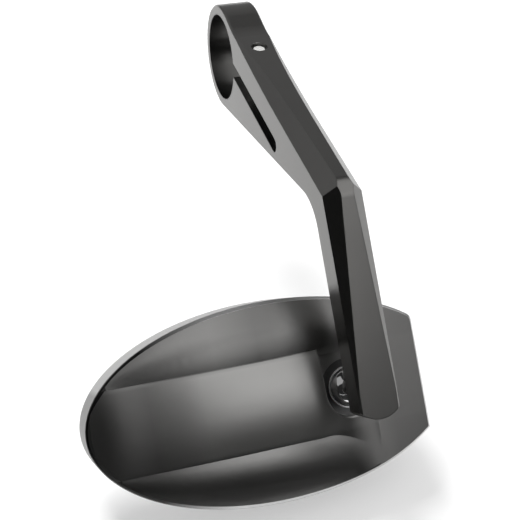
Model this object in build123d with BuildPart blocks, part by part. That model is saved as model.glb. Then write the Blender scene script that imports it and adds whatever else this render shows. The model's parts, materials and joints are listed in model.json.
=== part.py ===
from build123d import *
from math import acos, atan2, cos, radians, sin, sqrt, tan
import os

# Bar-end mirror for a motorcycle handlebar. Millimetres and degrees.
# The bar runs along X through the origin, the arm reaches out along -Y and then drops towards its foot.

# clamp ring and upper arm
bar_diameter = 22.2
ring_wall = 2.5
arm_width = 9.0
edge_break = 0.4
neck_reach = 9.0
neck_drop = 1.3
neck_blend = 20.0
ridge_reach = 75.0
top_rise = 2.4
ridge_blend = 6.0
underside_angle = 16.0
crook_blend = 10.0
slit_width = 3.7
slit_height = 2.6
slit_end = 45.2

# lower arm and foot
bend_angle = 45.0
stud_run = 44.36
foot_depth = 7.0
foot_radius = 6.0

# facets along the outer edges of the arm
facet_width = 3.2
facet_drop = 3.7
facet_rise = 3.43
facet_start_drop = 0.05
facet_fade = 30.0
facet_fade_drop = 2.2

# pinch screw
screw_reach = 16.6
screw_diameter = 4.0
screw_hole_gap = 0.2
screw_head_diameter = 7.0
screw_head_height = 2.8
screw_seat_depth = 4.2
screw_tip_recess = 0.7
screw_tip_chamfer = 0.5
screw_hex = 2.5
screw_hex_depth = 1.6
counterbore_gap = 0.2

# ball stud and its lock screw
ball_diameter = 10.4
ball_drop = 13.65
ball_end = 3.7
stud_neck_diameter = 4.6
stud_collar_flats = 7.0
stud_collar_height = 1.8
stud_thread = 5.0
stud_thread_length = 5.2
stud_hole_rest = 0.3
grub_diameter = 3.0
grub_recess = 0.3
grub_hex = 1.5
grub_hex_depth = 1.0

# ball joint inside the head, heights measured from the ball centre towards the arm
seat_wall = 0.6
seat_gap = 0.85
seat_end = 1.9
race_flange_radius = 7.6
race_neck_radius = 6.5
race_shoulder = 1.3
race_foot = 0.2
race_opening = 4.45
race_lip_width = 0.35
race_lip_height = 0.3
cup_top = 0.35
cup_cone_depth = 3.4
cup_well_radius = 2.4
cup_well_gap = 0.3
cup_floor = 0.6
spring_height = 0.5
spring_sheet = 0.3
spring_bore = 3.0
spring_inset = 0.4
plug_radius = 8.6
plug_thickness = 1.4
plug_key_diameter = 1.8
plug_key_pitch = 10.0

# head outline, back and glass
flat_height = 2.65
head_centre = 17.0
head_half_length = 43.2
head_half_height = 22.6
head_cut = 18.2
head_corner_top = 2.2
head_corner_bottom = 0.6
head_bevel = 0.5
rim_wall = 1.6
back_wall = 2.6
boss_wall = 1.7
rib_width = 2.0
ledge_width = 1.8
pad_thickness = 0.4
glass_thickness = 1.6
glass_bevel = 0.4
seal_width = 0.7
seal_recess = 0.15
crease_spacing = 19.6
lobe_height = 4.6
lobe_foot = 5.0
lobe_overrun = 1.5
pocket_margin = 0.1
nose_round = 0.5

# fits
slip = 0.02
ball_play = 0.04

# worked out from the above
half_width = arm_width / 2
bore_radius = bar_diameter / 2
ring_radius = bore_radius + ring_wall
ball_radius = ball_diameter / 2
bend_cos = cos(radians(bend_angle))
bend_sin = sin(radians(bend_angle))
neck_height = ring_radius - neck_drop
ridge_height = neck_height + top_rise
ridge_slope = top_rise / (ridge_reach - neck_reach)
ridge_along = ridge_reach * bend_cos - ridge_height * bend_sin
flank_offset = ridge_reach * bend_sin + ridge_height * bend_cos - facet_rise
foot_offset = flank_offset - foot_depth
stud_offset = ridge_along + stud_run
down_arm = Vector(0, -bend_cos, -bend_sin)
out_of_arm = Vector(0, -bend_sin, bend_cos)
stud_foot = down_arm * stud_offset + out_of_arm * foot_offset
ball = stud_foot - out_of_arm * ball_drop
head = Plane(ball, x_dir=(1, 0, 0), z_dir=out_of_arm)
stud_section = Plane(ball, x_dir=(1, 0, 0), z_dir=down_arm)
stud_axis = Axis(ball, out_of_arm)
foot_end = stud_offset + foot_radius
seat_inner = ball_radius + ball_play
seat_outer = seat_inner + seat_wall
race_sphere = seat_outer + ball_play
cup_well = -(ball_radius + cup_well_gap)
cup_bottom = cup_well - cup_floor
spring_bottom = cup_bottom - spring_height
plug_bottom = spring_bottom - plug_thickness
ledge_height = plug_bottom - slip
pad_bottom = ledge_height - pad_thickness
glass_bottom = pad_bottom - glass_thickness
head_front = glass_bottom - seal_recess
head_tip = -head_centre - head_half_length
crease_reach = crease_spacing / 2
crease_end = -head_centre - head_half_length * sqrt(1 - (crease_reach / head_half_height) ** 2)
pocket_radius = race_neck_radius + pocket_margin


def on_lower_arm(along, offset):
    """Profile point at a distance along the lower arm and a distance square to it."""
    return (-along * bend_cos - offset * bend_sin, -along * bend_sin + offset * bend_cos)


def head_outline(inset, height):
    """Oval of the head with its square-cut end, drawn in from the rim by an inset."""
    with BuildSketch(head.offset(height)) as outline:
        with Locations((-head_centre, 0)):
            Ellipse(head_half_length - inset, head_half_height - inset)
        with Locations((head_cut - inset, 0)):
            beyond_cut = (Align.MIN, Align.CENTER)
            Rectangle(head_half_length, 4 * head_half_height, align=beyond_cut, mode=Mode.SUBTRACT)
        fillet(outline.vertices().sort_by(Axis.Y)[-1], head_corner_top)
        fillet(outline.vertices().sort_by(Axis.Y)[0], head_corner_bottom)
    return outline.sketch


# Ring, arm and foot are milled from one plate.
underside_start = (-ring_radius * sin(radians(underside_angle)), -ring_radius * cos(radians(underside_angle)))
underside_depth = -underside_start[0] * bend_sin + underside_start[1] * bend_cos
underside_run = (foot_offset - underside_depth) / sin(radians(bend_angle + underside_angle))
crook = (
    underside_start[0] - underside_run * cos(radians(underside_angle)),
    underside_start[1] + underside_run * sin(radians(underside_angle)),
)
neck = (-neck_reach, neck_height)
neck_distance = sqrt(neck_reach**2 + neck_height**2)
neck_tangent = atan2(neck_reach, neck_height) - acos(ring_radius / neck_distance)
neck_start = (-ring_radius * sin(neck_tangent), ring_radius * cos(neck_tangent))
ridge = (-ridge_reach, ridge_height)
screw_underside = underside_start[1] + (screw_reach + underside_start[0]) * tan(radians(underside_angle))
screw_seat = screw_underside + screw_seat_depth
screw_top = neck_height + ridge_slope * (screw_reach - neck_reach)
grub_offset = foot_offset + stud_thread_length / 2
grub_end = down_arm * foot_end + out_of_arm * grub_offset


def facet_corner(reach, drop):
    """Corner of the upper arm that its facet takes off, at a distance from the bar."""
    width = drop * facet_width / facet_drop
    top = neck_height + ridge_slope * (reach - neck_reach)
    with BuildSketch(Plane((0, -reach, top), x_dir=(1, 0, 0), z_dir=(0, -1, 0))) as corner:
        with BuildLine():
            Polyline(
                (half_width + width / 2, -drop * 1.5),
                (half_width - width * 1.5, drop / 2),
                (half_width + width / 2, drop / 2),
                close=True,
            )
        make_face()
    return corner.sketch


with BuildPart() as upper_facet:
    far_drop = facet_drop + (facet_drop - facet_fade_drop) * facet_width / (ridge_reach - facet_fade)
    loft(
        sections=[
            facet_corner(neck_reach, facet_start_drop),
            facet_corner(facet_fade, facet_fade_drop),
            facet_corner(ridge_reach, facet_drop),
            facet_corner(ridge_reach + facet_width, far_drop),
        ]
    )

with BuildPart() as lower_facet:
    with BuildSketch(Plane(down_arm * foot_end, x_dir=(1, 0, 0), z_dir=down_arm)):
        with BuildLine():
            Polyline(
                (half_width + facet_width / 2, flank_offset - facet_rise / 2),
                (half_width - facet_width * 1.5, flank_offset + facet_rise * 1.5),
                (half_width + facet_width / 2, flank_offset + facet_rise * 1.5),
                close=True,
            )
        make_face()
    extrude(amount=ridge_along - facet_width - foot_end)

with BuildPart() as clamp_arm:
    with BuildSketch(Plane.YZ) as profile:
        with BuildLine():
            Polyline(
                neck_start,
                neck,
                ridge,
                on_lower_arm(foot_end, flank_offset),
                on_lower_arm(foot_end, foot_offset),
                crook,
                underside_start,
                (0, 0),
                close=True,
            )
        make_face()
        fillet(profile.vertices().sort_by_distance(neck)[0], neck_blend)
        fillet(profile.vertices().sort_by_distance(ridge)[0], ridge_blend)
        fillet(profile.vertices().sort_by_distance(crook)[0], crook_blend)
        Circle(ring_radius)
    extrude(amount=half_width, both=True)
    chamfer(clamp_arm.faces().filter_by(Axis.X).edges(), edge_break)
    # rounded end of the foot, about the stud
    with BuildSketch(Plane(stud_foot, x_dir=(1, 0, 0), z_dir=out_of_arm)):
        Rectangle(2 * arm_width, 2 * foot_radius, align=(Align.CENTER, Align.MAX))
        Circle(foot_radius, mode=Mode.SUBTRACT)
    extrude(amount=2 * (flank_offset - foot_offset), both=True, mode=Mode.SUBTRACT)
    add(upper_facet.part, mode=Mode.SUBTRACT)
    add(lower_facet.part, mode=Mode.SUBTRACT)
    mirror(upper_facet.part, about=Plane.YZ, mode=Mode.SUBTRACT)
    mirror(lower_facet.part, about=Plane.YZ, mode=Mode.SUBTRACT)
    # bore and the slit that lets the ring close on the bar
    with BuildSketch(Plane.YZ):
        Circle(bore_radius)
        with Locations((-slit_end / 2, slit_height)):
            SlotOverall(slit_end, slit_width)
    extrude(amount=half_width, both=True, mode=Mode.SUBTRACT)
    # pinch screw: tapped above the slit, clear below it, counterbored from underneath
    with BuildSketch(Plane.XY.offset(slit_height)):
        with Locations((0, -screw_reach)):
            Circle(screw_diameter / 2 + slip)
    extrude(amount=screw_top, mode=Mode.SUBTRACT)
    with BuildSketch(Plane.XY.offset(slit_height)):
        with Locations((0, -screw_reach)):
            Circle(screw_diameter / 2 + screw_hole_gap)
    extrude(amount=-slit_height + screw_seat, mode=Mode.SUBTRACT)
    with BuildSketch(Plane.XY.offset(screw_seat)):
        with Locations((0, -screw_reach)):
            Circle(screw_head_diameter / 2 + counterbore_gap)
    extrude(amount=-2 * screw_seat_depth, mode=Mode.SUBTRACT)
    # stud hole in the foot and the cross hole of its lock screw
    with BuildSketch(Plane(stud_foot, x_dir=(1, 0, 0), z_dir=out_of_arm)):
        Circle(stud_thread / 2 + slip)
    extrude(amount=stud_thread_length + stud_hole_rest, mode=Mode.SUBTRACT)
    with BuildSketch(Plane(grub_end, x_dir=(1, 0, 0), z_dir=-down_arm)):
        Circle(grub_diameter / 2 + slip)
    extrude(amount=foot_radius, mode=Mode.SUBTRACT)
clamp_arm.part.label = "clamp_arm"

with BuildPart() as clamp_screw:
    with BuildSketch(Plane.XY.offset(screw_seat)):
        with Locations((0, -screw_reach)):
            Circle(screw_diameter / 2)
    extrude(amount=screw_top - screw_tip_recess - screw_seat)
    chamfer(clamp_screw.faces().sort_by(Axis.Z)[-1].edges(), screw_tip_chamfer)
    with BuildSketch(Plane.XY.offset(screw_seat)):
        with Locations((0, -screw_reach)):
            Circle(screw_head_diameter / 2)
    extrude(amount=-screw_head_height)
    with BuildSketch(Plane.XY.offset(screw_seat - screw_head_height)):
        with Locations((0, -screw_reach)):
            RegularPolygon(screw_hex / 2, 6, major_radius=False)
    extrude(amount=screw_hex_depth, mode=Mode.SUBTRACT)
clamp_screw.part.label = "clamp_screw"

# Ball, neck and shank are turned in one, with a hexagon for the spanner.
with BuildPart() as ball_stud:
    neck_radius = stud_neck_diameter / 2
    with BuildSketch(stud_section):
        with BuildLine():
            neck_foot = sqrt(ball_radius**2 - neck_radius**2)
            end_radius = sqrt(ball_radius**2 - ball_end**2)
            ThreePointArc((end_radius, -ball_end), (ball_radius, 0), (neck_radius, neck_foot))
            Polyline(
                (neck_radius, neck_foot),
                (neck_radius, ball_drop),
                (stud_thread / 2, ball_drop),
                (stud_thread / 2, ball_drop + stud_thread_length),
                (0, ball_drop + stud_thread_length),
                (0, -ball_end),
                (end_radius, -ball_end),
            )
        make_face()
    revolve(axis=stud_axis)
    with BuildSketch(head.offset(ball_drop)):
        RegularPolygon(stud_collar_flats / 2, 6, major_radius=False)
    extrude(amount=-stud_collar_height)
ball_stud.part.label = "ball_stud"

with BuildPart() as stud_lock_screw:
    grub_length = foot_radius - stud_thread / 2 - grub_recess - slip
    with BuildSketch(Plane(grub_end - down_arm * grub_recess, x_dir=(1, 0, 0), z_dir=-down_arm)):
        Circle(grub_diameter / 2)
    extrude(amount=grub_length)
    with BuildSketch(Plane(grub_end - down_arm * grub_recess, x_dir=(1, 0, 0), z_dir=-down_arm)):
        RegularPolygon(grub_hex / 2, 6, major_radius=False)
    extrude(amount=grub_hex_depth, mode=Mode.SUBTRACT)
stud_lock_screw.part.label = "stud_lock_screw"


def ball_liner(bottom, top):
    """Half section of a liner shell about the ball between two heights."""
    middle = (bottom + top) / 2
    with BuildSketch(stud_section) as liner:
        with BuildLine():
            ThreePointArc(*[(sqrt(seat_inner**2 - h**2), h) for h in (bottom, middle, top)])
            Line((sqrt(seat_inner**2 - top**2), top), (sqrt(seat_outer**2 - top**2), top))
            ThreePointArc(*[(sqrt(seat_outer**2 - h**2), h) for h in (top, middle, bottom)])
            Line((sqrt(seat_outer**2 - bottom**2), bottom), (sqrt(seat_inner**2 - bottom**2), bottom))
        make_face()
    return liner.sketch


with BuildPart() as seat_upper:
    revolve(ball_liner(seat_gap, seat_end), axis=stud_axis)
seat_upper.part.label = "seat_upper"

with BuildPart() as seat_lower:
    revolve(ball_liner(-seat_end, -seat_gap), axis=stud_axis)
seat_lower.part.label = "seat_lower"


def seat_cone(height, touch):
    """Radius, at a height, of the cone that touches the liner's sphere at another height."""
    lean = touch / race_sphere
    return (race_sphere - height * lean) / sqrt(1 - lean**2)


# The race goes in from the glass side and rests on a shoulder, its lip stands round the ball opening.
with BuildPart() as ball_race:
    lip_top = flat_height + race_lip_height
    touch = (seat_gap + seat_end) / 2
    with BuildSketch(stud_section):
        with BuildLine():
            Polyline(
                (seat_cone(race_foot, touch), race_foot),
                (seat_cone(seat_end + ball_play, touch), seat_end + ball_play),
                (race_opening, lip_top),
                (race_opening + race_lip_width, lip_top),
                (race_opening + race_lip_width, flat_height),
                (race_neck_radius, flat_height),
                (race_neck_radius, race_shoulder),
                (race_flange_radius, race_shoulder),
                (race_flange_radius, race_foot),
                close=True,
            )
        make_face()
    revolve(axis=stud_axis)
ball_race.part.label = "ball_race"

with BuildPart() as pressure_cup:
    with BuildSketch(stud_section):
        with BuildLine():
            Polyline(
                (seat_cone(cup_top, seat_end), -cup_top),
                (seat_cone(cup_cone_depth, seat_end), -cup_cone_depth),
                (cup_well_radius, cup_well),
                (0, cup_well),
                (0, cup_bottom),
                (race_flange_radius, cup_bottom),
                (race_flange_radius, -cup_top),
                close=True,
            )
        make_face()
    revolve(axis=stud_axis)
pressure_cup.part.label = "pressure_cup"

with BuildPart() as disc_spring:
    spring_radius = race_flange_radius - spring_inset
    with BuildSketch(stud_section):
        with BuildLine():
            Polyline(
                (spring_bore, cup_bottom),
                (spring_radius, spring_bottom + spring_sheet),
                (spring_radius, spring_bottom),
                (spring_bore, cup_bottom - spring_sheet),
                close=True,
            )
        make_face()
    revolve(axis=stud_axis)
disc_spring.part.label = "disc_spring"

with BuildPart() as retaining_plug:
    with BuildSketch(head.offset(spring_bottom)):
        Circle(plug_radius)
        with PolarLocations(plug_key_pitch / 2, 2):
            Circle(plug_key_diameter / 2, mode=Mode.SUBTRACT)
    extrude(amount=-plug_thickness)
retaining_plug.part.label = "retaining_plug"


# Back of the head: three convex lobes that rise from the rim, with creases between them.
def across(station):
    """Plane square to the head's length, at a distance from the ball."""
    return Plane(ball + Vector(station, 0, 0), x_dir=-down_arm, z_dir=(1, 0, 0))


def middle_section(share, crown, crease, flare=0):
    """Section of the middle lobe; heights are shares of the lobe height over the flat."""
    edge = flat_height + lobe_height * crease
    pull = flat_height + lobe_height * (2 * crown - crease)
    foot = flat_height - lobe_foot
    reach = crease_reach + flare
    with BuildSketch(across(head_tip * (1 - share))) as section:
        with BuildLine():
            Bezier((-reach, edge), (0, pull), (reach, edge))
            Polyline((reach, edge), (reach, foot), (-reach, foot), (-reach, edge))
        make_face()
    return section.sketch


def side_section(share, crease, bulge):
    """Section of the upper lobe between its crease and the rim, carried on past both."""
    station = crease_end * (1 - share)
    rim = head_half_height * sqrt(1 - ((station + head_centre) / head_half_length) ** 2)
    foot = flat_height - lobe_foot
    with BuildSketch(across(station)) as section:
        with BuildLine():
            foot_of_crease = Vector(crease_reach, flat_height + lobe_height * crease)
            run = Vector(rim, flat_height - head_bevel / 5) - foot_of_crease
            pull = run / 2 + run.normalized().rotate(Axis.Z, 90) * 2 * lobe_height * bulge
            back = Bezier(foot_of_crease, foot_of_crease + pull, foot_of_crease + run)
            fall = back @ 1 + (back % 1) * lobe_overrun
            dip = back @ 0 - (back % 0) * lobe_overrun
            Polyline(back @ 1, fall, (fall.X, foot), (dip.X, foot), dip, back @ 0)
        make_face()
    return section.sketch


with BuildPart() as middle_lobe:
    loft(
        sections=[
            middle_section(-0.03, -0.02, -0.20),
            middle_section(0.07, 0.20, 0.05),
            middle_section(0.20, 0.42, 0.22),
            middle_section(0.40, 0.72, 0.46),
            middle_section(0.63, 0.92, 0.60),
            middle_section(0.80, 0.97, 0.63),
            middle_section(0.86, 0.94, 0.60),
            middle_section(0.90, 0.81, 0.50),
            middle_section(0.95, 0.53, 0.33, 0.8),
            middle_section(1.02, 0.25, 0.14, 3.0),
            middle_section(1.09, 0.04, 0.02, 6.2),
            middle_section(1.15, -0.06, -0.08, 8.0),
        ]
    )
    # room round the ball, open towards the arm
    with BuildSketch(head.offset(flat_height - lobe_foot)):
        Circle(pocket_radius)
        with Locations((-pocket_radius, 0)):
            Rectangle(head_half_length, crease_spacing, align=Align.MIN)
    extrude(amount=lobe_foot + 2 * lobe_height, mode=Mode.SUBTRACT)
    back_face = middle_lobe.faces().sort_by(SortBy.AREA)[-1]
    fillet(back_face.edges().sort_by_distance(ball)[0], nose_round)

with BuildPart() as upper_lobe:
    loft(
        sections=[
            side_section(0.03, 0.05, 0.012),
            side_section(0.14, 0.18, 0.075),
            side_section(0.36, 0.42, 0.165),
            side_section(0.61, 0.53, 0.21),
            side_section(0.86, 0.38, 0.205),
            side_section(1.02, 0.06, 0.13),
            side_section(1.16, -0.07, 0.02),
        ]
    )

with BuildPart() as rim_form:
    bevel_foot = flat_height - head_bevel
    bevel_rise = lobe_height + 2 * head_bevel
    extrude(head_outline(0, head_front), amount=bevel_foot - head_front)
    loft(sections=[head_outline(0, bevel_foot), head_outline(bevel_rise, bevel_foot + bevel_rise)])

# hollow behind the glass, left round the joint's boss and its ribs
with BuildPart() as hollow:
    hollow_height = flat_height - back_wall - ledge_height
    extrude(head_outline(rim_wall + ledge_width, ledge_height), amount=hollow_height)
    with BuildSketch(head.offset(ledge_height)):
        Circle(plug_radius + boss_wall)
        Rectangle(4 * head_half_length, rib_width)
        Rectangle(rib_width, 4 * head_half_height)
    extrude(amount=hollow_height, mode=Mode.SUBTRACT)

with BuildPart() as mirror_housing:
    extrude(head_outline(0, head_front), amount=flat_height - head_front)
    add(middle_lobe.part)
    add(upper_lobe.part)
    mirror(upper_lobe.part, about=stud_section)
    add(rim_form.part, mode=Mode.INTERSECT)
    extrude(head_outline(rim_wall, head_front), amount=ledge_height - head_front, mode=Mode.SUBTRACT)
    add(hollow.part, mode=Mode.SUBTRACT)
    # stepped bore of the ball joint
    with BuildSketch(head.offset(ledge_height)):
        Circle(plug_radius + slip)
    extrude(amount=cup_bottom - ledge_height, mode=Mode.SUBTRACT)
    with BuildSketch(head.offset(ledge_height)):
        Circle(race_flange_radius + slip)
    extrude(amount=race_shoulder - ledge_height, mode=Mode.SUBTRACT)
    with BuildSketch(head.offset(race_shoulder)):
        Circle(race_neck_radius + slip)
    extrude(amount=lobe_height, mode=Mode.SUBTRACT)
mirror_housing.part.label = "mirror_housing"

with BuildPart() as glass_pad:
    extrude(head_outline(rim_wall + seal_width, ledge_height), amount=-pad_thickness)
glass_pad.part.label = "glass_pad"

with BuildPart() as mirror_glass:
    extrude(head_outline(rim_wall + seal_width, pad_bottom), amount=-glass_thickness)
    chamfer(mirror_glass.faces().sort_by(stud_axis)[0].edges(), glass_bevel)
mirror_glass.part.label = "mirror_glass"

with BuildPart() as glass_seal:
    seal_height = glass_bottom + glass_bevel - ledge_height
    extrude(head_outline(rim_wall + slip, ledge_height), amount=seal_height)
    extrude(head_outline(rim_wall + seal_width - slip, ledge_height), amount=seal_height, mode=Mode.SUBTRACT)
glass_seal.part.label = "glass_seal"

os.makedirs("parts", exist_ok=True)
export_step(clamp_arm.part, "parts/clamp_arm.step")
export_step(clamp_screw.part, "parts/clamp_screw.step")
export_step(ball_stud.part, "parts/ball_stud.step")
export_step(stud_lock_screw.part, "parts/stud_lock_screw.step")
export_step(seat_upper.part, "parts/seat_upper.step")
export_step(seat_lower.part, "parts/seat_lower.step")
export_step(ball_race.part, "parts/ball_race.step")
export_step(pressure_cup.part, "parts/pressure_cup.step")
export_step(disc_spring.part, "parts/disc_spring.step")
export_step(retaining_plug.part, "parts/retaining_plug.step")
export_step(mirror_housing.part, "parts/mirror_housing.step")
export_step(glass_pad.part, "parts/glass_pad.step")
export_step(mirror_glass.part, "parts/mirror_glass.step")
export_step(glass_seal.part, "parts/glass_seal.step")
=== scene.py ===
import json
from math import cos, pi, radians, sin

import bmesh
import bpy
from mathutils import Matrix, Vector


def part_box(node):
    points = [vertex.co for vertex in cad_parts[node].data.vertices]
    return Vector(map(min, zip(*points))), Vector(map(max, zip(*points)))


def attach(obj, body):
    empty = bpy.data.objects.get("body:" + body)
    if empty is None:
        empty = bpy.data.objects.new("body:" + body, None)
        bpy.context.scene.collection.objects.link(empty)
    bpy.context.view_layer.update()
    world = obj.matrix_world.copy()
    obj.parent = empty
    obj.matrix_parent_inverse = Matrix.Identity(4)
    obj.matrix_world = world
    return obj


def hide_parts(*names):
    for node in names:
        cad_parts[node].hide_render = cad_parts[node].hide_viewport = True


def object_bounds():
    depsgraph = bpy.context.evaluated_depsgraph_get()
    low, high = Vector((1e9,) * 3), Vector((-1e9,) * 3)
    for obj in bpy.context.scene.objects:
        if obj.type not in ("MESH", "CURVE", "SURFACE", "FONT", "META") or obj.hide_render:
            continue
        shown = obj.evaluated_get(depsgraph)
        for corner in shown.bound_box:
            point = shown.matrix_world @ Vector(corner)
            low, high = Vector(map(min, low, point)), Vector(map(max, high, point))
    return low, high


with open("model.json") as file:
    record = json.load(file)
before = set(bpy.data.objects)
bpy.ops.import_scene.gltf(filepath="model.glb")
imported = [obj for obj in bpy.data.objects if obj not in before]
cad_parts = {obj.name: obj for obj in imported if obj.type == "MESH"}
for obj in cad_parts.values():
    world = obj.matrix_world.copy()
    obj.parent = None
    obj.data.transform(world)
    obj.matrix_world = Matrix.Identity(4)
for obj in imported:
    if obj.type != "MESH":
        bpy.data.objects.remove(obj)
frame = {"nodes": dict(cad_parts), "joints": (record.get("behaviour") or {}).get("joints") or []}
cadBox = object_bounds()
nodes = frame["nodes"]
scene = bpy.context.scene
mm = 0.001

# the three joints meet at the ball's centre
ballCentre = Vector(frame["joints"][0]["pos_m"])
downArm = Vector(frame["joints"][0]["axis"])
studAxis = Vector(frame["joints"][2]["axis"])  # out of the head, towards the arm
print("frame loaded:", len(nodes), "nodes")


# camera, fitted to the photo's outlines

camera = {
    "azimuth": -21.229,
    "elevation": 42.416,
    "roll": 4.781,
    "place": Vector((-80.0, -235.14, 153.79)) * mm,
    "lens": 74.6,
    "sensor": 36,
    "clip": (0.01, 50),
}

camData = bpy.data.cameras.new("photoCamera")
camData.lens = camera["lens"]
camData.sensor_width = camera["sensor"]
camData.clip_start, camData.clip_end = camera["clip"]
camObject = bpy.data.objects.new("photoCamera", camData)
turn = Matrix.Rotation(radians(camera["azimuth"]), 4, "Z")
pitch = Matrix.Rotation(radians(90 - camera["elevation"]), 4, "X")
roll = Matrix.Rotation(radians(camera["roll"]), 4, "Z")
camObject.matrix_world = Matrix.Translation(camera["place"]) @ turn @ pitch @ roll
scene.collection.objects.link(camObject)
scene.camera = camObject
print("camera done")


# node helpers

def addNode(tree, kind, **values):
    node = tree.nodes.new(kind)
    for name, value in values.items():
        setattr(node, name, value)
    return node


def fill(tree, socket, value):
    if hasattr(value, "is_output"):
        tree.links.new(value, socket)
    else:
        socket.default_value = value


def feed(tree, node, values):
    for label, value in values.items():
        fill(tree, node.inputs[label], value)
    return node


def mathNode(tree, operation, *values):
    node = addNode(tree, "ShaderNodeMath", operation=operation)
    feed(tree, node, dict(enumerate(values)))
    return node.outputs[0]


def product(tree, first, *others):
    for other in others:
        first = mathNode(tree, "MULTIPLY", first, other)
    return first


def oneMinus(tree, value):
    return mathNode(tree, "SUBTRACT", 1.0, value)


def squareSum(tree, first, second):
    return mathNode(tree, "MULTIPLY_ADD", first, first, product(tree, second, second))


def splitVector(tree, vector):
    return feed(tree, addNode(tree, "ShaderNodeSeparateXYZ"), {"Vector": vector}).outputs


def mixNode(tree, kind, ending, factor, first, second):
    # a mix node has several sockets of one name, so they are found by identifier
    node = addNode(tree, "ShaderNodeMix", data_type=kind)
    sockets = {s.identifier: s for s in node.inputs}
    fill(tree, sockets["Factor_Float"], factor)
    fill(tree, sockets["A_" + ending], first)
    fill(tree, sockets["B_" + ending], second)
    return {s.identifier: s for s in node.outputs}["Result_" + ending]


def mixColour(tree, factor, first, second):
    return mixNode(tree, "RGBA", "Color", factor, first, second)


def mixNormal(tree, factor, first, second):
    return mixNode(tree, "VECTOR", "Vector", factor, first, second)


def remap(tree, value, low, high, newLow=0.0, newHigh=1.0):
    node = addNode(tree, "ShaderNodeMapRange")
    names = ("Value", "From Min", "From Max", "To Min", "To Max")
    feed(tree, node, dict(zip(names, (value, low, high, newLow, newHigh))))
    return node.outputs["Result"]


def grey(level, tint=(1, 1, 1)):
    return tuple(level * part for part in tint) + (1,)


def newGroup(name, inputs, outputs):
    tree = bpy.data.node_groups.new(name, "ShaderNodeTree")
    kinds = {"f": "NodeSocketFloat", "c": "NodeSocketColor", "v": "NodeSocketVector"}
    for label, kind in inputs:
        tree.interface.new_socket(label, in_out="INPUT", socket_type=kinds[kind])
    for label, kind in outputs:
        tree.interface.new_socket(label, in_out="OUTPUT", socket_type=kinds[kind])
    return tree, addNode(tree, "NodeGroupInput").outputs, addNode(tree, "NodeGroupOutput")


def newMaterial(name, values):
    material = bpy.data.materials.new(name)
    material.use_nodes = True
    tree = material.node_tree
    shader = feed(tree, tree.nodes["Principled BSDF"], values)
    coords = addNode(tree, "ShaderNodeTexCoord")
    return material, tree, shader, coords


def placeGroup(tree, group, values):
    return feed(tree, addNode(tree, "ShaderNodeGroup", node_tree=group), values).outputs


def addBump(tree, height, finish):
    bump = addNode(tree, "ShaderNodeBump")
    return feed(tree, bump, {"Strength": finish["bump"], "Distance": finish["depth"], "Height": height})


def aboutStud(tree, coords):
    # object coordinates with the ball's centre at zero and Z along the stud
    place = addNode(tree, "ShaderNodeMapping", vector_type="TEXTURE")
    turned = Vector((0, 0, 1)).rotation_difference(studAxis).to_euler()
    feed(tree, place, {"Vector": coords.outputs["Object"], "Location": ballCentre, "Rotation": turned})
    return place.outputs["Vector"]


def studFacing(tree, coords):
    # how squarely the surface looks along the stud
    facing = addNode(tree, "ShaderNodeVectorMath", operation="DOT_PRODUCT")
    feed(tree, facing, {0: coords.outputs["Normal"], 1: studAxis})
    return facing.outputs["Value"]


def dress(material, *names):
    for name in names:
        mesh = nodes[name].data
        mesh.materials.clear()
        mesh.materials.append(material)


# shared effects

def makeSatinGrain():
    grainShare = 0.4
    tree, given, result = newGroup(
        "satinGrain",
        [("Vector", "v"), ("Dark", "c"), ("Light", "c"), ("Roughness", "f"), ("Spread", "f"),
         ("Cloud Scale", "f"), ("Grain Scale", "f")],
        [("Color", "c"), ("Roughness", "f"), ("Height", "f")],
    )
    cloud = addNode(tree, "ShaderNodeTexNoise")
    feed(tree, cloud, {"Vector": given["Vector"], "Scale": given["Cloud Scale"], "Detail": 4})
    grain = addNode(tree, "ShaderNodeTexNoise")
    feed(tree, grain, {"Vector": given["Vector"], "Scale": given["Grain Scale"], "Detail": 2})
    both = mathNode(tree, "MULTIPLY_ADD", grain.outputs["Fac"], grainShare,
                    product(tree, cloud.outputs["Fac"], 1 - grainShare))
    offset = product(tree, mathNode(tree, "SUBTRACT", both, 0.5), given["Spread"])
    feed(tree, result, {
        "Color": mixColour(tree, both, given["Dark"], given["Light"]),
        "Roughness": mathNode(tree, "ADD", offset, given["Roughness"]),
        "Height": grain.outputs["Fac"],
    })
    return tree


def makeBrokenEdge():
    # edges catch the light: a rounded normal and a mask of where it leaves the flat one
    tree, given, result = newGroup(
        "brokenEdge",
        [("Radius", "f"), ("Gain", "f")],
        [("Normal", "v"), ("Edge", "f")],
    )
    rounded = addNode(tree, "ShaderNodeBevel", samples=6)
    feed(tree, rounded, {"Radius": given["Radius"]})
    surface = addNode(tree, "ShaderNodeNewGeometry")
    match = addNode(tree, "ShaderNodeVectorMath", operation="DOT_PRODUCT")
    feed(tree, match, {0: rounded.outputs["Normal"], 1: surface.outputs["Normal"]})
    lost = product(tree, oneMinus(tree, match.outputs["Value"]), given["Gain"])
    clamped = mathNode(tree, "MINIMUM", mathNode(tree, "MAXIMUM", lost, 0.0), 1.0)
    feed(tree, result, {"Normal": rounded.outputs["Normal"], "Edge": clamped})
    return tree


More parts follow.
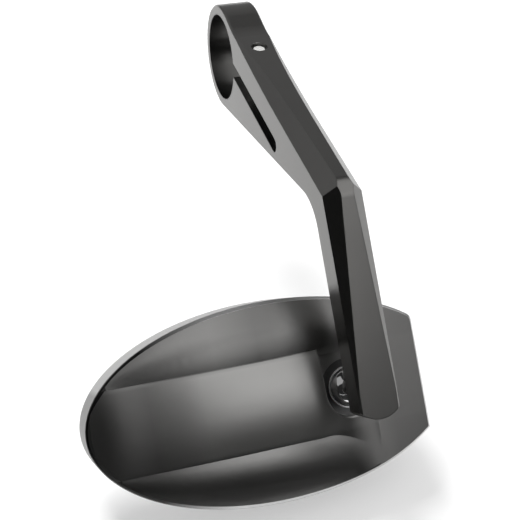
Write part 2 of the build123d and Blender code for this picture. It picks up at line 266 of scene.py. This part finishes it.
def makeTurnedRings():
    # fine tool marks round the Z axis of the vector
    tree, given, result = newGroup(
        "turnedRings",
        [("Vector", "v"), ("Dark", "c"), ("Light", "c"), ("Roughness", "f"), ("Spread", "f"),
         ("Rings Per Metre", "f")],
        [("Color", "c"), ("Roughness", "f"), ("Height", "f"), ("Radius", "f")],
    )
    parts = splitVector(tree, given["Vector"])
    radius = mathNode(tree, "SQRT", squareSum(tree, parts["X"], parts["Y"]))
    count = product(tree, mathNode(tree, "ADD", radius, parts["Z"]), given["Rings Per Metre"])
    marks = addNode(tree, "ShaderNodeTexNoise", noise_dimensions="1D")
    feed(tree, marks, {"W": count, "Scale": 1.0, "Detail": 3})
    offset = product(tree, mathNode(tree, "SUBTRACT", marks.outputs["Fac"], 0.5), given["Spread"])
    feed(tree, result, {
        "Color": mixColour(tree, marks.outputs["Fac"], given["Dark"], given["Light"]),
        "Roughness": mathNode(tree, "ADD", offset, given["Roughness"]),
        "Height": marks.outputs["Fac"],
        "Radius": radius,
    })
    return tree


satinGrain = makeSatinGrain()
brokenEdge = makeBrokenEdge()
turnedRings = makeTurnedRings()


def placeGrain(tree, coords, finish):
    return placeGroup(tree, satinGrain, {
        "Vector": coords.outputs["Object"],
        "Dark": grey(finish["dark"], finish["tint"]),
        "Light": grey(finish["light"], finish["tint"]),
        "Roughness": finish["roughness"],
        "Spread": finish["spread"],
        "Cloud Scale": finish["cloudScale"],
        "Grain Scale": finish["grainScale"],
    })


def placeRings(tree, place, finish):
    return placeGroup(tree, turnedRings, {
        "Vector": place,
        "Dark": grey(finish["dark"]),
        "Light": grey(finish["light"]),
        "Roughness": finish["roughness"],
        "Spread": finish["spread"],
        "Rings Per Metre": finish["ringsPerMetre"],
    })


def makeGrained(name, finish):
    material, tree, shader, coords = newMaterial(name, {"Metallic": finish["metallic"]})
    grain = placeGrain(tree, coords, finish)
    feed(tree, shader, {
        "Base Color": grain["Color"],
        "Roughness": grain["Roughness"],
        "Normal": addBump(tree, grain["Height"], finish).outputs["Normal"],
    })
    return material


# anodised arm, with painted shade inside the ring

# edge: the colour of the lighter edges, part wear and part painted highlight
armFinish = {
    "dark": 0.13, "light": 0.157, "edge": 0.29, "tint": (1.0, 0.985, 0.955),
    "roughness": 0.29, "spread": 0.07, "cloudScale": 120, "grainScale": 9000,
    "bump": 0.05, "depth": 0.05 * mm, "edgeRadius": 0.22 * mm, "edgeGain": 2.5,
    "bore": {"radius": 11.4 * mm, "shade": 0.6},
}


def borePaintedShade(tree, coords, bore):
    # painted shade: the coat is darker inside the bore
    place = splitVector(tree, coords.outputs["Object"])
    square = squareSum(tree, place["Y"], place["Z"])
    outside = mathNode(tree, "GREATER_THAN", square, bore["radius"] ** 2)
    return mathNode(tree, "MAXIMUM", outside, bore["shade"])


# anodised head, with painted shade and painted light in its coat and a painted highlight on its rim; along runs
# from the ball to the flat end, across from the ball to the upper lobe

headFinish = {
    "dark": 0.28, "light": 0.33, "edge": 0.58, "tint": (1.0, 0.99, 0.97),
    "roughness": 0.31, "spread": 0.07, "cloudScale": 90, "grainScale": 7000,
    "bump": 0.06, "depth": 0.05 * mm, "edgeRadius": 0.3 * mm, "edgeGain": 5.0,
    "oval": {"centre": -17.0 * mm, "halfLength": 43.2 * mm, "halfHeight": 22.6 * mm},
    # rim: here the head's edges are rounded and carry the painted highlight, its bevel faces too
    "rim": {
        "share": 0.93, "cut": 17.4 * mm, "fade": (-46.0 * mm, -30.0 * mm), "bevelFacing": (0.5, 0.88),
    },
    "end": {
        "start": (-2.0 * mm, 4.0 * mm), "stop": (8.0 * mm, 10.0 * mm), "aside": 6.0 * mm, "flatten": 0.85,
        # painted shade: the coat darkens towards the flat end
        "fall": (3.0 * mm, 10.0 * mm, 1.0, 0.78),
    },
    # painted shade on the upper lobe, darkest at its crease
    "upper": {
        "crease": (9.6 * mm, 17.0 * mm, 0.5, 1.0),
        "fall": (-30.0 * mm, -16.0 * mm, 1.0, 0.56), "rise": (-13.0 * mm, -7.0 * mm, 0.56, 1.0),
        "fromTip": (-52.0 * mm, -38.0 * mm), "toEnd": (-20.0 * mm, -7.0 * mm, 1.0, 0.0),
    },
    # painted light on the middle lobe and painted shade on the side lobes
    "middle": {
        "edge": (8.8 * mm, 9.8 * mm, 1.0, 0.0), "tip": (-46.0 * mm, -34.0 * mm, 0.48, 1.0),
        "nose": (-14.0 * mm, -3.0 * mm, 1.0, 0.72), "sides": 0.68, "rougher": 0.08,
    },
    # painted shade on the ledge inside the rim at the tip
    "ledge": {"facing": (0.75, 0.993), "share": (0.93, 0.99), "along": -30.0 * mm, "shade": 0.88},
}


def rimMask(tree, along, oval, rim):
    # the outermost part of the oval and the flat end, fading at the tip; only there are the head's edges rounded
    # and painted light
    outer = mathNode(tree, "GREATER_THAN", oval, rim["share"])
    cut = mathNode(tree, "GREATER_THAN", along, rim["cut"])
    return product(tree, mathNode(tree, "MAXIMUM", outer, cut), remap(tree, along, *rim["fade"]))


def bevelMask(tree, facing, atRim, rim):
    # painted highlight: the rim's bevel faces take the light edge colour
    low, high = rim["bevelFacing"]
    steep = mathNode(tree, "LESS_THAN", facing, high)
    return product(tree, mathNode(tree, "GREATER_THAN", facing, low), steep, atRim)


def endMask(tree, along, across, atRim, end):
    # beside the ball, where the lobes run out into the flat end
    rising = remap(tree, along, *end["start"])
    falling = remap(tree, along, *end["stop"], end["flatten"], 0.0)
    aside = mathNode(tree, "GREATER_THAN", mathNode(tree, "ABSOLUTE", across), end["aside"])
    return product(tree, rising, falling, aside, oneMinus(tree, atRim))


def upperPaintedShade(tree, along, across, upper):
    # painted shade: the upper lobe is darker towards its crease, but not at the tip or the flat end
    length = mathNode(tree, "MAXIMUM", remap(tree, along, *upper["fall"]), remap(tree, along, *upper["rise"]))
    lost = oneMinus(tree, product(tree, length, remap(tree, across, *upper["crease"])))
    between = product(tree, remap(tree, along, *upper["fromTip"]), remap(tree, along, *upper["toEnd"]))
    beyond = mathNode(tree, "GREATER_THAN", across, upper["crease"][0])
    return oneMinus(tree, product(tree, lost, between, beyond))


def middlePaintedLightAndShade(tree, along, onMiddle, middle):
    # painted light and shade: the middle lobe is lighter than the sides, least at its tip
    level = mathNode(tree, "MINIMUM", remap(tree, along, *middle["tip"]), remap(tree, along, *middle["nose"]))
    lift = mathNode(tree, "SUBTRACT", level, middle["sides"])
    return mathNode(tree, "MULTIPLY_ADD", onMiddle, lift, middle["sides"])


def ledgePaintedShade(tree, along, oval, facing, ledge):
    # painted shade on the small ledge inside the rim at the tip: its walls are steeper and its floor flatter
    # than the lobes
    walls = mathNode(tree, "LESS_THAN", facing, ledge["facing"][0])
    flat = mathNode(tree, "GREATER_THAN", facing, ledge["facing"][1])
    outer = mathNode(tree, "GREATER_THAN", oval, ledge["share"][0])
    inner = mathNode(tree, "LESS_THAN", oval, ledge["share"][1])
    atTip = mathNode(tree, "LESS_THAN", along, ledge["along"])
    found = mathNode(tree, "MAXIMUM", walls, flat)
    return oneMinus(tree, product(tree, found, outer, inner, atTip, ledge["shade"]))


def headMasks(tree, coords, finish):
    place = splitVector(tree, aboutStud(tree, coords))
    along, across = place["X"], place["Y"]
    facing = studFacing(tree, coords)
    size = finish["oval"]
    fromCentre = mathNode(tree, "SUBTRACT", along, size["centre"])
    oval = squareSum(tree, mathNode(tree, "DIVIDE", fromCentre, size["halfLength"]),
                     mathNode(tree, "DIVIDE", across, size["halfHeight"]))
    atRim = rimMask(tree, along, oval, finish["rim"])
    onMiddle = remap(tree, mathNode(tree, "ABSOLUTE", across), *finish["middle"]["edge"])
    return {
        "rim": atRim,
        "bevel": bevelMask(tree, facing, atRim, finish["rim"]),
        "end": endMask(tree, along, across, atRim, finish["end"]),
        "rougher": product(tree, onMiddle, finish["middle"]["rougher"]),
        "shade": product(
            tree,
            upperPaintedShade(tree, along, across, finish["upper"]),
            # painted shade towards the flat end
            remap(tree, along, *finish["end"]["fall"]),
            middlePaintedLightAndShade(tree, along, onMiddle, finish["middle"]),
            ledgePaintedShade(tree, along, oval, facing, finish["ledge"]),
        ),
    }


def headNormal(tree, masks, rounded):
    # rounded at the rim only, and levelled where the lobes run out
    surface = addNode(tree, "ShaderNodeNewGeometry").outputs["Normal"]
    level = addNode(tree, "ShaderNodeVectorTransform",
                    vector_type="NORMAL", convert_from="OBJECT", convert_to="WORLD")
    feed(tree, level, {"Vector": studAxis})
    normal = mixNormal(tree, masks["rim"], surface, rounded)
    return mixNormal(tree, masks["end"], normal, level.outputs["Vector"])


def makeAnodised(name, finish):
    material, tree, shader, coords = newMaterial(name, {"Metallic": 1})
    grain = placeGrain(tree, coords, finish)
    edge = placeGroup(tree, brokenEdge, {"Radius": finish["edgeRadius"], "Gain": finish["edgeGain"]})
    roughness, wornAndHighlit, normal = grain["Roughness"], edge["Edge"], edge["Normal"]
    if "bore" in finish:
        shade = borePaintedShade(tree, coords, finish["bore"])
    else:
        masks = headMasks(tree, coords, finish)
        shade = masks["shade"]
        roughness = mathNode(tree, "ADD", roughness, masks["rougher"])
        # on the head only the rim's edges keep the painted highlight, and the whole bevel is painted light
        wornAndHighlit = mathNode(tree, "MAXIMUM", product(tree, wornAndHighlit, masks["rim"]), masks["bevel"])
        normal = headNormal(tree, masks, normal)
    # the painted shade darkens the coat
    coat = mixColour(tree, shade, grey(0), grain["Color"])
    bump = feed(tree, addBump(tree, grain["Height"], finish), {"Normal": normal})
    # the edges take a lighter colour, part wear and part painted highlight
    feed(tree, shader, {
        "Base Color": mixColour(tree, wornAndHighlit, coat, grey(finish["edge"])),
        "Roughness": roughness,
        "Normal": bump.outputs["Normal"],
    })
    return material


dress(makeAnodised("anodisedArm", armFinish), "clamp_arm")
dress(makeAnodised("anodisedHead", headFinish), "mirror_housing")
print("anodised metal done")


# polished ball stud

studFinish = {"dark": 0.74, "light": 0.82, "roughness": 0.07, "spread": 0.05, "ringsPerMetre": 6000}


def makePolishedStud():
    material, tree, shader, coords = newMaterial("polishedStud", {"Metallic": 1})
    rings = placeRings(tree, aboutStud(tree, coords), studFinish)
    feed(tree, shader, {"Base Color": rings["Color"], "Roughness": rings["Roughness"]})
    return material


dress(makePolishedStud(), "ball_stud")


# turned pieces of the joint; the race is blackened and only its lip is bare

raceFinish = {
    "dark": 0.085, "light": 0.11, "roughness": 0.36, "spread": 0.12, "ringsPerMetre": 8000,
    "bump": 0.1, "depth": 0.02 * mm,
    "lip": {"colour": 0.95, "radius": 5.05 * mm, "foot": 2.7 * mm},
}
springFinish = {
    "dark": 0.5, "light": 0.62, "roughness": 0.3, "spread": 0.14, "ringsPerMetre": 7000,
    "bump": 0.12, "depth": 0.02 * mm,
}
plugFinish = dict(springFinish, dark=0.58, light=0.7)


def makeTurned(name, finish):
    material, tree, shader, coords = newMaterial(name, {"Metallic": 1})
    place = aboutStud(tree, coords)
    rings = placeRings(tree, place, finish)
    colour = rings["Color"]
    if "lip" in finish:
        lip = finish["lip"]
        within = mathNode(tree, "LESS_THAN", rings["Radius"], lip["radius"])
        above = mathNode(tree, "GREATER_THAN", splitVector(tree, place)["Z"], lip["foot"])
        colour = mixColour(tree, product(tree, within, above), colour, grey(lip["colour"]))
    feed(tree, shader, {
        "Base Color": colour,
        "Roughness": rings["Roughness"],
        "Normal": addBump(tree, rings["Height"], finish).outputs["Normal"],
    })
    return material


dress(makeTurned("blackenedRace", raceFinish), "ball_race")
dress(makeTurned("turnedSteel", springFinish), "pressure_cup", "disc_spring")
dress(makeTurned("turnedAlloy", plugFinish), "retaining_plug")


# moulded liners, foam pad and rubber seal

linerFinish = {
    "dark": 0.012, "light": 0.022, "tint": (1, 1, 1), "metallic": 0, "roughness": 0.45, "spread": 0.2,
    "cloudScale": 140, "grainScale": 6000, "bump": 0.15, "depth": 0.02 * mm,
}
padFinish = {
    "dark": 0.02, "light": 0.045, "tint": (1, 1, 1), "metallic": 0, "roughness": 0.85, "spread": 0.15,
    "cloudScale": 140, "grainScale": 2500, "bump": 0.6, "depth": 0.1 * mm,
}
sealFinish = {
    "dark": 0.014, "light": 0.026, "tint": (1, 1, 1), "metallic": 0, "roughness": 0.6, "spread": 0.2,
    "cloudScale": 140, "grainScale": 5000, "bump": 0.3, "depth": 0.03 * mm,
}

dress(makeGrained("mouldedLiner", linerFinish), "seat_upper", "seat_lower")
dress(makeGrained("foamPad", padFinish), "glass_pad")
dress(makeGrained("rubberSeal", sealFinish), "glass_seal")


# silvered glass: mirror on its face, green at its ground edge

glassFinish = {
    "silver": (0.86, 0.89, 0.9, 1), "groundEdge": (0.05, 0.11, 0.085, 1), "faceLimit": 0.95,
    "roughness": 0.015, "edgeRoughness": 0.3, "smudge": 0.05, "smudgeScale": 60, "smudgeRange": (0.5, 0.75),
}


def makeMirrorGlass():
    material, tree, shader, coords = newMaterial("silveredGlass", {"Metallic": 1})
    square = mathNode(tree, "ABSOLUTE", studFacing(tree, coords))
    face = mathNode(tree, "GREATER_THAN", square, glassFinish["faceLimit"])
    smudge = addNode(tree, "ShaderNodeTexNoise")
    feed(tree, smudge, {
        "Vector": coords.outputs["Object"], "Scale": glassFinish["smudgeScale"], "Detail": 6, "Distortion": 1.5,
    })
    film = remap(tree, smudge.outputs["Fac"], *glassFinish["smudgeRange"],
                 glassFinish["roughness"], glassFinish["smudge"])
    ground = product(tree, oneMinus(tree, face), glassFinish["edgeRoughness"])
    feed(tree, shader, {
        "Base Color": mixColour(tree, face, glassFinish["groundEdge"], glassFinish["silver"]),
        "Roughness": mathNode(tree, "ADD", film, ground),
    })
    return material


dress(makeMirrorGlass(), "mirror_glass")
print("joint pieces and glass done")


# plated screws: turned bodies with a hexagon socket, and a thread that follows a helix

pinchScrew = {
    "node": "clamp_screw", "axis": Vector((0, 0, 1)), "headHeight": 2.8 * mm, "shank": 2.0 * mm,
    "pitch": 0.7 * mm, "threadDepth": 0.36 * mm, "plainShank": 2.2 * mm, "tipChamfer": 0.5 * mm,
    "hex": 1.25 * mm, "hexDepth": 1.6 * mm, "headChamfer": 0.3 * mm,
}
lockScrew = {
    "node": "stud_lock_screw", "axis": -downArm, "headHeight": 0, "shank": 1.5 * mm,
    "pitch": 0.5 * mm, "threadDepth": 0.25 * mm, "plainShank": 0.2 * mm, "tipChamfer": 0.4 * mm,
    "hex": 0.75 * mm, "hexDepth": 1.0 * mm, "headChamfer": 0.25 * mm,
}
screwFinish = {
    "dark": 0.8, "light": 0.9, "tint": (1, 1, 0.98), "metallic": 0.6, "roughness": 0.42, "spread": 0.14,
    "cloudScale": 600, "grainScale": 12000, "bump": 0.08, "depth": 0.02 * mm,
}
screwDetail = {"segments": 72, "socketMouth": 1.2, "socketLead": 0.12, "helixSteps": 40, "ridgeSides": 4}


def ringPoints(height, radius, hexed):
    points = []
    for step in range(screwDetail["segments"]):
        angle = 2 * pi * step / screwDetail["segments"]
        reach = radius
        if hexed:
            reach = radius / cos((angle + pi / 6) % (pi / 3) - pi / 6)
        points.append((reach * cos(angle), reach * sin(angle), height))
    return points


def turnMesh(name, rings, startPole, endPole):
    # rings joined in order and closed by a point at each end
    shape = bmesh.new()
    loops = [[shape.verts.new(p) for p in ringPoints(*ring)] for ring in rings]
    first = shape.verts.new((0, 0, startPole))
    last = shape.verts.new((0, 0, endPole))
    for step in range(screwDetail["segments"]):
        after = (step + 1) % screwDetail["segments"]
        shape.faces.new((first, loops[0][step], loops[0][after]))
        shape.faces.new((last, loops[-1][after], loops[-1][step]))
        for upper, lower in zip(loops, loops[1:]):
            shape.faces.new((upper[step], lower[step], lower[after], upper[after]))
    bmesh.ops.recalc_face_normals(shape, faces=shape.faces)
    mesh = bpy.data.meshes.new(name)
    shape.to_mesh(mesh)
    shape.free()
    return mesh


def makeThreadTree():
    tree = bpy.data.node_groups.new("screwThread", "GeometryNodeTree")
    tree.interface.new_socket("Geometry", in_out="INPUT", socket_type="NodeSocketGeometry")
    for label in ("Root Radius", "Depth", "Length", "Turns", "Start Height"):
        tree.interface.new_socket(label, in_out="INPUT", socket_type="NodeSocketFloat")
    tree.interface.new_socket("Material", in_out="INPUT", socket_type="NodeSocketMaterial")
    tree.interface.new_socket("Geometry", in_out="OUTPUT", socket_type="NodeSocketGeometry")
    given = addNode(tree, "NodeGroupInput").outputs
    helix = addNode(tree, "GeometryNodeCurveSpiral")
    feed(tree, helix, {
        "Resolution": screwDetail["helixSteps"], "Rotations": given["Turns"], "Height": given["Length"],
        "Start Radius": given["Root Radius"], "End Radius": given["Root Radius"],
    })
    section = addNode(tree, "GeometryNodeCurvePrimitiveCircle", mode="RADIUS")
    feed(tree, section, {"Resolution": screwDetail["ridgeSides"], "Radius": given["Depth"]})
    ridge = addNode(tree, "GeometryNodeCurveToMesh")
    feed(tree, ridge, {
        "Curve": helix.outputs["Curve"], "Profile Curve": section.outputs["Curve"], "Fill Caps": True,
    })
    raised = addNode(tree, "ShaderNodeCombineXYZ")
    feed(tree, raised, {"Z": given["Start Height"]})
    move = addNode(tree, "GeometryNodeTransform")
    feed(tree, move, {"Geometry": ridge.outputs["Mesh"], "Translation": raised.outputs["Vector"]})
    real = feed(tree, addNode(tree, "GeometryNodeRealizeInstances"), {"Geometry": move.outputs["Geometry"]})
    coat = addNode(tree, "GeometryNodeSetMaterial")
    feed(tree, coat, {"Geometry": real.outputs["Geometry"], "Material": given["Material"]})
    feed(tree, addNode(tree, "NodeGroupOutput"), {"Geometry": coat.outputs["Geometry"]})
    return tree


def growThread(name, tree, values):
    base = bpy.data.objects.new(name, bpy.data.meshes.new(name))
    scene.collection.objects.link(base)
    modifier = base.modifiers.new("thread", "NODES")
    modifier.node_group = tree
    for item in tree.interface.items_tree:
        if item.in_out == "INPUT" and item.name in values:
            modifier[item.identifier] = values[item.name]
    bpy.context.view_layer.update()
    evaluated = base.evaluated_get(bpy.context.evaluated_depsgraph_get())
    mesh = bpy.data.meshes.new_from_object(evaluated)
    base.modifiers.remove(modifier)
    base.data = mesh
    return base


def screwRings(size, length, headRadius):
    # (height, radius, hexed) from the tip of the thread to the bottom of the socket
    seat, shank, chamfer, hexSize = size["headHeight"], size["shank"], size["headChamfer"], size["hex"]
    root = shank - size["threadDepth"]
    threadStart = seat + size["plainShank"]
    rings = [
        (length, root - size["tipChamfer"] / 2, False),
        (length - size["tipChamfer"], root, False),
        (threadStart, root, False),
        (threadStart - size["threadDepth"], shank, False),
    ]
    if seat:
        rings += [
            (seat, shank, False),
            (seat, headRadius - chamfer / 2, False),
            (seat - chamfer / 2, headRadius, False),
        ]
    topRadius = headRadius if seat else shank
    rings += [
        (chamfer, topRadius, False),
        (0, topRadius - chamfer, False),
        (0, hexSize * screwDetail["socketMouth"], False),
        (hexSize * screwDetail["socketLead"], hexSize, True),
        (size["hexDepth"], hexSize, True),
    ]
    return rings


platedSteel = makeGrained("platedSteel", screwFinish)
threadTree = makeThreadTree()


def makeScrew(label, size):
    low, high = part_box(size["node"])
    axis = size["axis"].normalized()
    width = high.x - low.x
    length = (high.z - low.z - width * abs(axis.y)) / axis.z  # along the axis, from the box of a tilted cylinder
    socketPoint = size["hexDepth"] + size["hex"] / 2
    rings = screwRings(size, length, width / 2)
    body = bpy.data.objects.new(label, turnMesh(label, rings, length, socketPoint))
    scene.collection.objects.link(body)
    body.data.materials.append(platedSteel)
    threadStart = size["headHeight"] + size["plainShank"]
    threadLength = length - size["tipChamfer"] - threadStart - size["threadDepth"]
    thread = growThread(label + "Thread", threadTree, {
        "Root Radius": size["shank"] - size["threadDepth"],
        "Depth": size["threadDepth"],
        "Length": threadLength,
        "Turns": threadLength / size["pitch"],
        "Start Height": threadStart,
        "Material": platedSteel,
    })
    foot = (low + high) / 2 - axis * length / 2
    place = Matrix.Translation(foot) @ Vector((0, 0, 1)).rotation_difference(axis).to_matrix().to_4x4()
    for piece in (body, thread):
        piece.data.transform(place)
        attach(piece, "arm")
    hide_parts(size["node"])


makeScrew("pinchScrew", pinchScrew)
makeScrew("lockScrew", lockScrew)
print("screws done")


# white floor that keeps the shadow and glows to the camera, metal and glass alike

floorPlane = {
    "size": 12.0, "gap": 0.2 * mm, "colour": 0.95, "glow": 1.0, "glowShare": 0.45, "whiteFrom": (0.2, 0.7),
}


def makeFloor():
    height = cadBox[0][2] - floorPlane["gap"]
    bpy.ops.mesh.primitive_plane_add(size=floorPlane["size"], location=(0, 0, height))
    floor = bpy.context.object
    floor.name = "studioFloor"
    material, tree, shader, coords = newMaterial("paleFloor", {})
    tree.nodes.remove(shader)
    matte = feed(tree, addNode(tree, "ShaderNodeBsdfDiffuse"), {"Color": grey(floorPlane["colour"])})
    glow = feed(tree, addNode(tree, "ShaderNodeEmission"), {"Strength": floorPlane["glow"]})
    ray = addNode(tree, "ShaderNodeLightPath").outputs
    seen = mathNode(tree, "MAXIMUM", ray["Is Camera Ray"], ray["Is Glossy Ray"])
    seen = mathNode(tree, "MAXIMUM", seen, ray["Is Transmission Ray"])
    away = feed(tree, addNode(tree, "ShaderNodeVectorMath", operation="LENGTH"), {0: coords.outputs["Object"]})
    share = remap(tree, away.outputs["Value"], *floorPlane["whiteFrom"], floorPlane["glowShare"], 1.0)
    blend = addNode(tree, "ShaderNodeMixShader")
    feed(tree, blend, {
        0: product(tree, seen, share),
        1: matte.outputs["BSDF"],
        2: glow.outputs["Emission"],
    })
    feed(tree, tree.nodes["Material Output"], {"Surface": blend.outputs["Shader"]})
    floor.data.materials.append(material)


makeFloor()


# dark cards on the floor, seen only in reflections, keep the low front and the left facets dark

blackCloth = {"colour": 0.012, "roughness": 0.9}
flags = {
    "frontFlag": {"low": (-0.6, -1.0), "high": (0.6, -0.135)},
    "leftFlag": {"low": (-2.5, -0.9), "high": (-0.1, 0.3)},
}


def makeFlag(name, card, material):
    (left, near), (right, far) = card["low"], card["high"]
    height = cadBox[0][2]
    mesh = bpy.data.meshes.new(name)
    corners = [(left, near, height), (right, near, height), (right, far, height), (left, far, height)]
    mesh.from_pydata(corners, [], [(0, 1, 2, 3)])
    mesh.materials.append(material)
    flag = bpy.data.objects.new(name, mesh)
    scene.collection.objects.link(flag)
    flag.visible_camera = False
    flag.visible_diffuse = False
    flag.visible_shadow = False


flagMaterial = newMaterial("blackCloth", {
    "Base Color": grey(blackCloth["colour"]), "Roughness": blackCloth["roughness"],
})[0]
for name, card in flags.items():
    makeFlag(name, card, flagMaterial)


# soft lights; the floor key only throws the shadow and isn't mirrored

softboxes = {
    "overheadBox": {"place": (0.3, -0.16, 0.75), "width": 1.0, "height": 1.0, "level": 1.42},
    "frontStrip": {"place": (0.135, -0.7, 0.57), "width": 0.24, "height": 0.4, "level": 2.25},
    "frontPanel": {"place": (0.42, -0.82, 0.55), "width": 0.45, "height": 0.55, "level": 0.15},
    "leftPanel": {"place": (-0.5, -0.1, 0.62), "width": 0.55, "height": 0.55, "level": 0.35},
    "backPanel": {"place": (-0.2, 1.0, 0.6), "width": 2.0, "height": 1.0, "level": 0.36},
    "rightPanel": {"place": (1.1, 0.75, 0.5), "width": 0.9, "height": 0.8, "level": 0.3},
    "leftBackPanel": {"place": (-1.1, 0.7, 0.45), "width": 0.8, "height": 0.7, "level": 0.25},
    "floorKey": {"place": (-0.25, 0.62, 1.1), "width": 0.45, "height": 0.45, "level": 34.0, "mirrored": False},
}
lightAim = Vector((-0.01, -0.06, 0))


def addSoftbox(name, box):
    data = bpy.data.lights.new(name, "AREA")
    data.shape = "RECTANGLE"
    data.size = box["width"]
    data.size_y = box["height"]
    data.energy = box["level"] * pi * box["width"] * box["height"]
    light = bpy.data.objects.new(name, data)
    light.location = box["place"]
    light.rotation_euler = (lightAim - Vector(box["place"])).to_track_quat("-Z", "Y").to_euler()
    light.visible_camera = False
    light.visible_glossy = box.get("mirrored", True)
    scene.collection.objects.link(light)


for name, box in softboxes.items():
    addSoftbox(name, box)


# the world is white to the camera and nearly dark to everything else

skyLevel = {"light": 0.02, "seen": 1.0}

world = bpy.data.worlds.new("studioWorld")
world.use_nodes = True
sky = world.node_tree
toCamera = addNode(sky, "ShaderNodeLightPath").outputs["Is Camera Ray"]
strength = remap(sky, toCamera, 0.0, 1.0, skyLevel["light"], skyLevel["seen"])
feed(sky, sky.nodes["Background"], {"Color": grey(1), "Strength": strength})
scene.world = world
scene.view_settings.view_transform = "Standard"
print("studio done")
